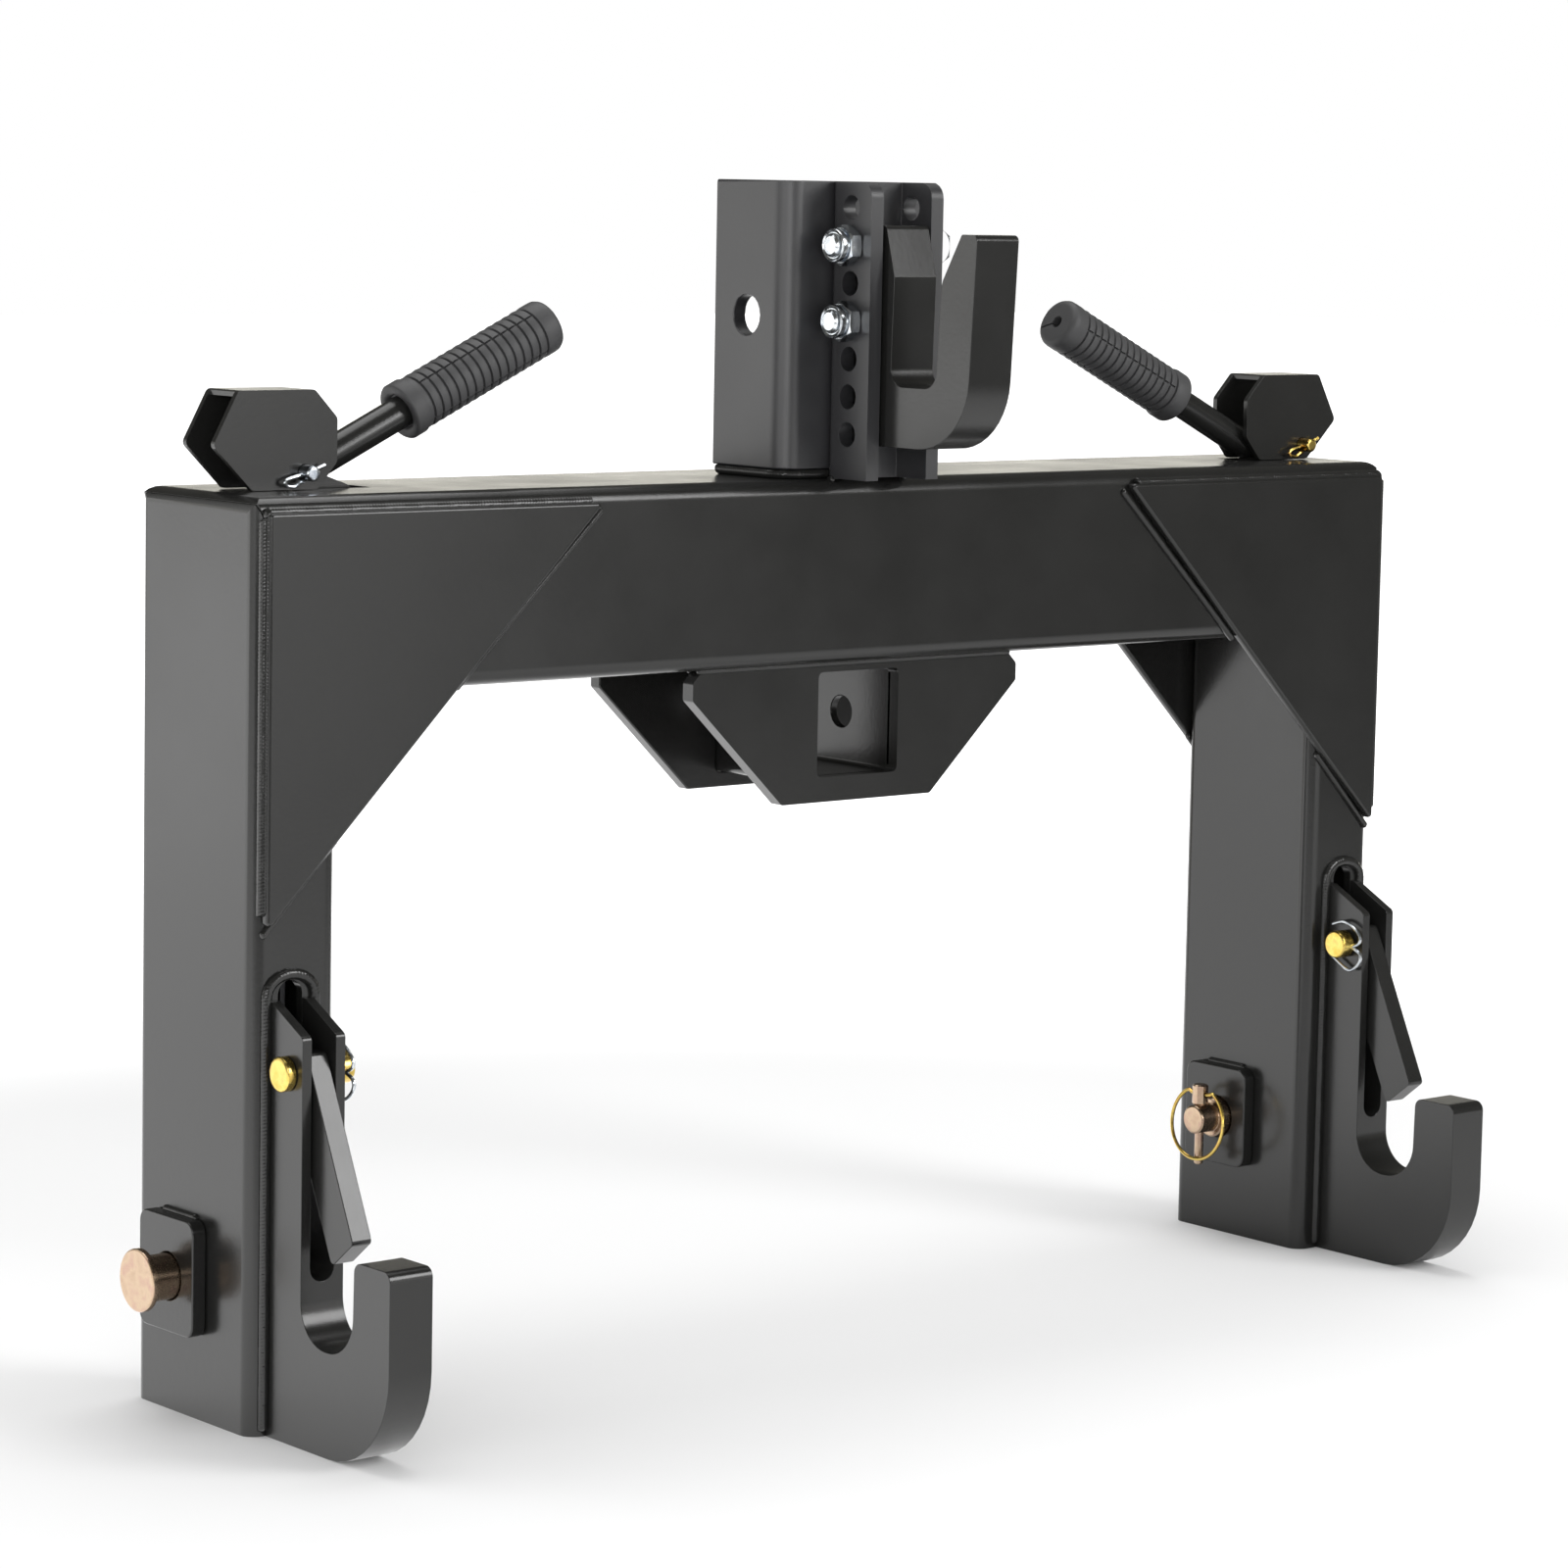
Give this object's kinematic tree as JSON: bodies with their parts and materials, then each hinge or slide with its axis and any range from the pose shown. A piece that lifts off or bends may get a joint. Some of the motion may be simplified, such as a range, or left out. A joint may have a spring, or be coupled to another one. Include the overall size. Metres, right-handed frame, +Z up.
{
  "type": "three point quick hitch",
  "caption": "Rigid A-shaped carrier for a tractor's three point linkage: two latched lower hooks on box legs, adjustable top hook on a mast, hand levers and a square receiver socket.",
  "frame": {"origin": "middle of the bounding box's base, on the ground", "axes": "+X across the hitch to the right seen from the hooks, +Y backward toward the tractor, +Z up"},
  "size_m": [0.801, 0.206, 0.592],
  "materials": {
    "satin_black_paint": "satin black powder coat",
    "black_rubber": "ribbed black moulded rubber",
    "bronze_zinc": "bronze tinted zinc plating",
    "yellow_zinc": "yellow chromate zinc plating",
    "bright_zinc": "bright zinc plating",
    "spring_steel": "oiled dark spring steel"
  },
  "bodies": {
    "root": {"cross_beam": "satin_black_paint", "mast_front_channel": "satin_black_paint", "mast_rear_channel": "satin_black_paint", "top_hook": "satin_black_paint", "hook_bolt_upper": "bright_zinc", "hook_washer_upper": "bright_zinc", "hook_nut_upper": "bright_zinc", "hook_bolt_lower": "bright_zinc", "hook_washer_lower": "bright_zinc", "hook_nut_lower": "bright_zinc", "receiver_plate_front": "satin_black_paint", "receiver_plate_rear": "satin_black_paint", "receiver_tube": "satin_black_paint", "leg_left": "satin_black_paint", "gusset_front_left": "satin_black_paint", "gusset_rear_left": "satin_black_paint", "lower_hook_left": "satin_black_paint", "doubler_outer_left": "satin_black_paint", "doubler_inner_left": "satin_black_paint", "rod_guide_left": "satin_black_paint", "lever_bracket_left": "satin_black_paint", "latch_pin_left": "yellow_zinc", "latch_clip_left": "yellow_zinc", "link_pin_left": "bronze_zinc", "linch_pin_left": "bronze_zinc", "lever_pin_left": "bright_zinc", "lever_clip_left": "bright_zinc", "rod_spring_left": "spring_steel", "leg_right": "satin_black_paint", "gusset_front_right": "satin_black_paint", "gusset_rear_right": "satin_black_paint", "lower_hook_right": "satin_black_paint", "doubler_outer_right": "satin_black_paint", "doubler_inner_right": "satin_black_paint", "rod_guide_right": "satin_black_paint", "lever_bracket_right": "satin_black_paint", "latch_pin_right": "yellow_zinc", "latch_clip_right": "yellow_zinc", "link_pin_right": "bronze_zinc", "linch_pin_right": "bronze_zinc", "lever_pin_right": "yellow_zinc", "lever_clip_right": "yellow_zinc", "rod_spring_right": "spring_steel"},
    "lever_left": {"lever_bar_left": "satin_black_paint", "grip_left": "black_rubber"},
    "rod_left": {"pull_rod_left": "spring_steel"},
    "latch_left": {"latch_left": "satin_black_paint"},
    "ring_left": {"linch_ring_left": "yellow_zinc"},
    "lever_right": {"lever_bar_right": "satin_black_paint", "grip_right": "black_rubber"},
    "rod_right": {"pull_rod_right": "spring_steel"},
    "latch_right": {"latch_right": "satin_black_paint"},
    "ring_right": {"linch_ring_right": "yellow_zinc"}
  },
  "joints": [
    {"name": "lever_left_hinge", "type": "hinge", "parent": "root", "child": "lever_left", "pos_m": [-0.3236, 0.047, 0.4503], "axis": [0, -1, 0], "range_deg": [0, 30]},
    {"name": "rod_left_slide", "type": "slide", "parent": "root", "child": "rod_left", "axis": [0, 0, 1], "range_m": [0, 0.01592], "stiffness_N_per_m": 700, "springref_m": -0.012, "deforming": ["rod_spring_left"]},
    {"name": "latch_left_hinge", "type": "hinge", "parent": "root", "child": "latch_left", "pos_m": [-0.354, -0.019, 0.1753], "axis": [1, 0, 0], "range_deg": [0, 24]},
    {"name": "ring_left_flip", "type": "hinge", "parent": "root", "child": "ring_left", "pos_m": [-0.3055, 0.0555, 0.08205], "axis": [0, -1, 0], "range_deg": [0, 150]},
    {"name": "lever_right_hinge", "type": "hinge", "parent": "root", "child": "lever_right", "pos_m": [0.349, 0.047, 0.4503], "axis": [0, 1, 0], "range_deg": [0, 30]},
    {"name": "rod_right_slide", "type": "slide", "parent": "root", "child": "rod_right", "axis": [0, 0, 1], "range_m": [0, 0.01592], "stiffness_N_per_m": 700, "springref_m": -0.012, "deforming": ["rod_spring_right"]},
    {"name": "latch_right_hinge", "type": "hinge", "parent": "root", "child": "latch_right", "pos_m": [0.354, -0.019, 0.1753], "axis": [1, 0, 0], "range_deg": [0, 24]},
    {"name": "ring_right_flip", "type": "hinge", "parent": "root", "child": "ring_right", "pos_m": [0.3055, 0.0555, 0.08205], "axis": [0, 1, 0], "range_deg": [0, 150]}
  ],
  "couplings": [
    {"joint": "rod_left_slide", "follows": "lever_left_hinge", "m_per_rad": 0.0304},
    {"joint": "latch_left_hinge", "follows": "lever_left_hinge", "ratio": 0.7999},
    {"joint": "rod_right_slide", "follows": "lever_right_hinge", "m_per_rad": 0.0304},
    {"joint": "latch_right_hinge", "follows": "lever_right_hinge", "ratio": 0.7999}
  ]
}
